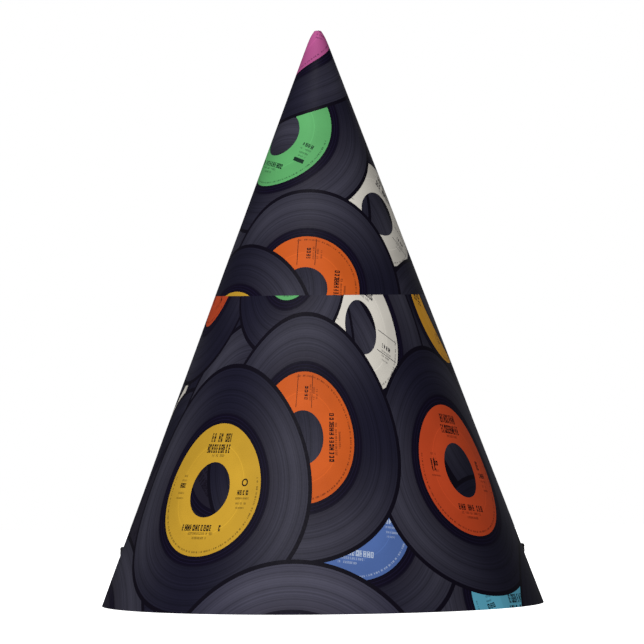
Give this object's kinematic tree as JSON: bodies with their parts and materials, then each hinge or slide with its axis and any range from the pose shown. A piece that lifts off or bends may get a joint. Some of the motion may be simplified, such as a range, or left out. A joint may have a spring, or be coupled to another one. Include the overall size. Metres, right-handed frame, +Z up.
{
  "type": "cone party hat",
  "caption": "Rolled card cone hat with a lapped, taped back seam, an open blunt tip and a chin elastic knotted through punched side holes.",
  "frame": {"origin": "centre of the rim, on the surface that the hat stands on", "axes": "+Z up the cone's axis to the tip, -Y to the front, +Y to the lapped seam at the back, +X and -X to the elastic's two holes"},
  "size_m": [0.127, 0.127, 0.165],
  "materials": {
    "printed_card": "satin printed face, bare white back",
    "double_sided_tape": "clear yellowish adhesive film",
    "black_elastic": "braided polyester over rubber"
  },
  "bodies": {
    "hat": {"card_cone": "printed_card", "seam_tape": "double_sided_tape"},
    "chin_strap": {"elastic_cord": "black_elastic", "knot_left": "black_elastic", "knot_right": "black_elastic"}
  },
  "joints": [
    {"name": "chin_strap_swing", "type": "hinge", "parent": "hat", "child": "chin_strap", "pos_m": [0, 0.014, 0.015], "axis": [1, 0, 0], "range_deg": [0, 110]}
  ]
}
